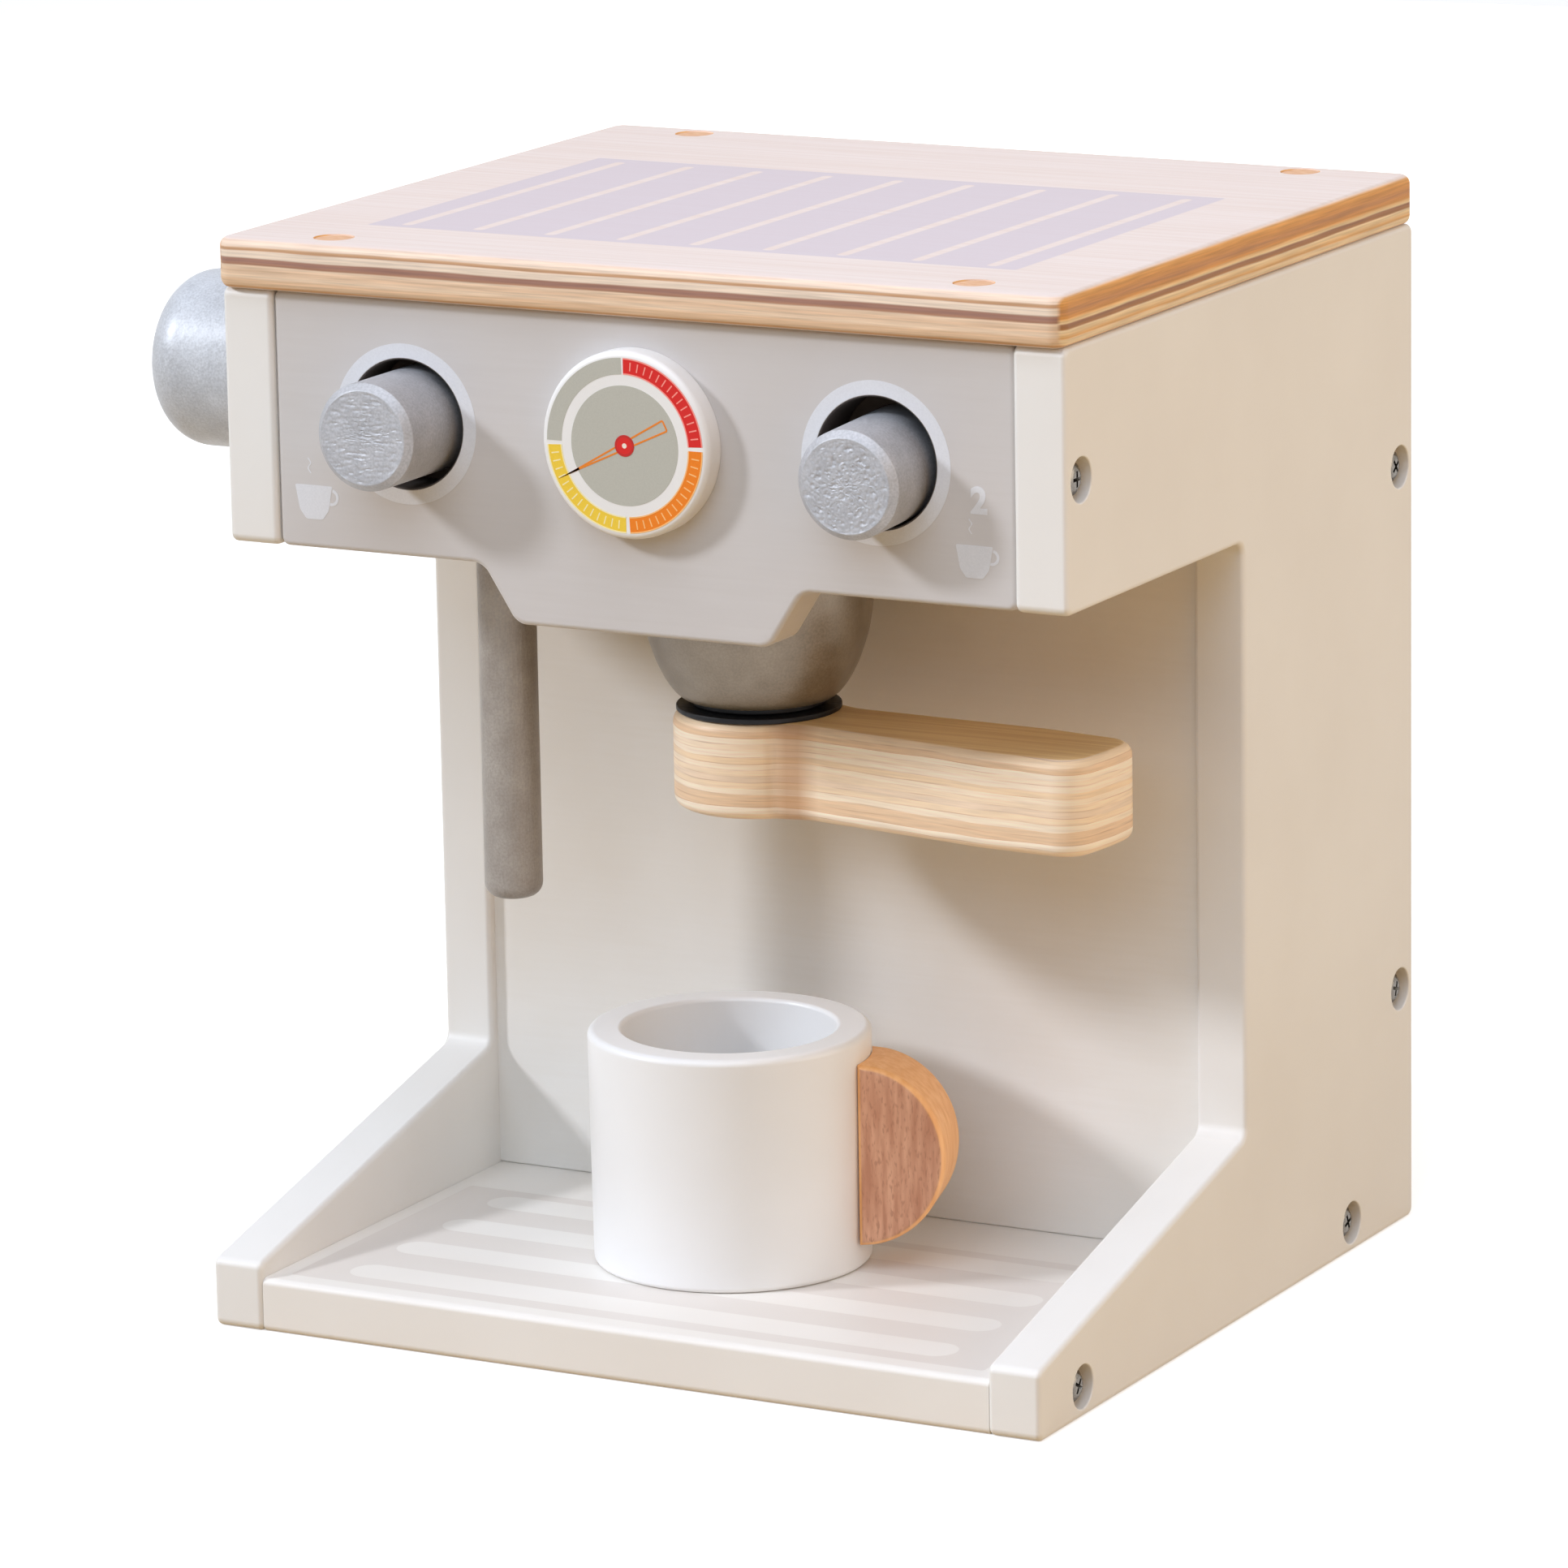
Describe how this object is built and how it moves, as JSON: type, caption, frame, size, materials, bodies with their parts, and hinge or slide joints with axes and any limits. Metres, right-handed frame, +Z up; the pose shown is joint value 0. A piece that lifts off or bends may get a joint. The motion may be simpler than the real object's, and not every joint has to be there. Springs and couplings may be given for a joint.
{
  "type": "toy coffee maker",
  "caption": "Toy espresso machine of painted board and wood, with press buttons, side knob, magnetic filter holder and a cup.",
  "frame": {"origin": "on the underside of the base board, in the middle of the footprint of feet and body", "axes": "+Z up, the front faces -Y, +X to the right seen from the front"},
  "size_m": [0.2336, 0.1895, 0.237],
  "materials": {
    "cream_paint": "satin cream-white paint on fibreboard",
    "grey_paint": "satin warm grey paint on fibreboard, with white and grey prints",
    "birch_ply": "clear-lacquered birch plywood, visible plies at the edges",
    "beech": "oiled beech",
    "bare_wood": "unfinished softwood inside the head",
    "silver_paint": "silver paint on turned wood",
    "black_magnet": "black ferrite",
    "black_steel": "black-lacquered steel",
    "screw_steel": "zinc-plated steel",
    "spring_steel": "drawn spring wire",
    "gauge_white": "white paint with a printed dial",
    "cup_white": "satin white paint on turned wood"
  },
  "bodies": {
    "frame": {"left_side_panel": "cream_paint", "right_side_panel": "cream_paint", "base_board": "cream_paint", "bay_back_board": "cream_paint", "rear_board": "cream_paint", "front_board": "grey_paint", "head_floor_board": "bare_wood", "top_board": "birch_ply", "top_screws": "screw_steel", "top_plugs": "beech", "left_side_screws": "screw_steel", "right_side_screws": "screw_steel", "gauge_disc": "gauge_white", "steam_wand": "silver_paint", "group_bowl": "silver_paint", "group_screw": "screw_steel", "button_rail": "bare_wood", "left_button_spring": "spring_steel", "right_button_spring": "spring_steel"},
    "left_button": {"left_button": "silver_paint", "left_button_stop": "bare_wood"},
    "right_button": {"right_button": "silver_paint", "right_button_stop": "bare_wood"},
    "side_knob": {"side_knob": "silver_paint", "knob_axle": "bare_wood", "knob_lock_ring": "bare_wood"},
    "magnet": {"group_magnet": "black_magnet"},
    "filter_holder": {"holder_paddle": "birch_ply", "holder_disc": "black_steel", "holder_screw": "screw_steel"},
    "cup": {"cup_body": "cup_white", "cup_grip": "beech", "cup_peg": "bare_wood"}
  },
  "joints": [
    {"name": "left_button_press", "type": "slide", "parent": "frame", "child": "left_button", "axis": [0, 1, 0], "range_m": [0, 0.009], "stiffness_N_per_m": 120, "springref_m": -0.004, "deforming": ["left_button_spring"]},
    {"name": "right_button_press", "type": "slide", "parent": "frame", "child": "right_button", "axis": [0, 0.999, 0.0454], "range_m": [0, 0.009], "stiffness_N_per_m": 120, "springref_m": -0.004, "deforming": ["right_button_spring"]},
    {"name": "side_knob_turn", "type": "hinge", "parent": "frame", "child": "side_knob", "pos_m": [-0.1, -0.042, 0.2032], "axis": [-1, 0, 0], "continuous": true},
    {"name": "filter_holder_turn", "type": "hinge", "parent": "frame", "child": "magnet", "pos_m": [0, -0.026, 0.1365], "axis": [0, 0, 1], "range_deg": [-120, 10]},
    {"name": "filter_holder_pull", "type": "slide", "parent": "magnet", "child": "filter_holder", "axis": [0, 0, -1], "range_m": [0, 0.03]},
    {"name": "cup_out", "type": "slide", "parent": "frame", "child": "cup", "axis": [0, -1, 0], "range_m": [0, 0.09]}
  ]
}
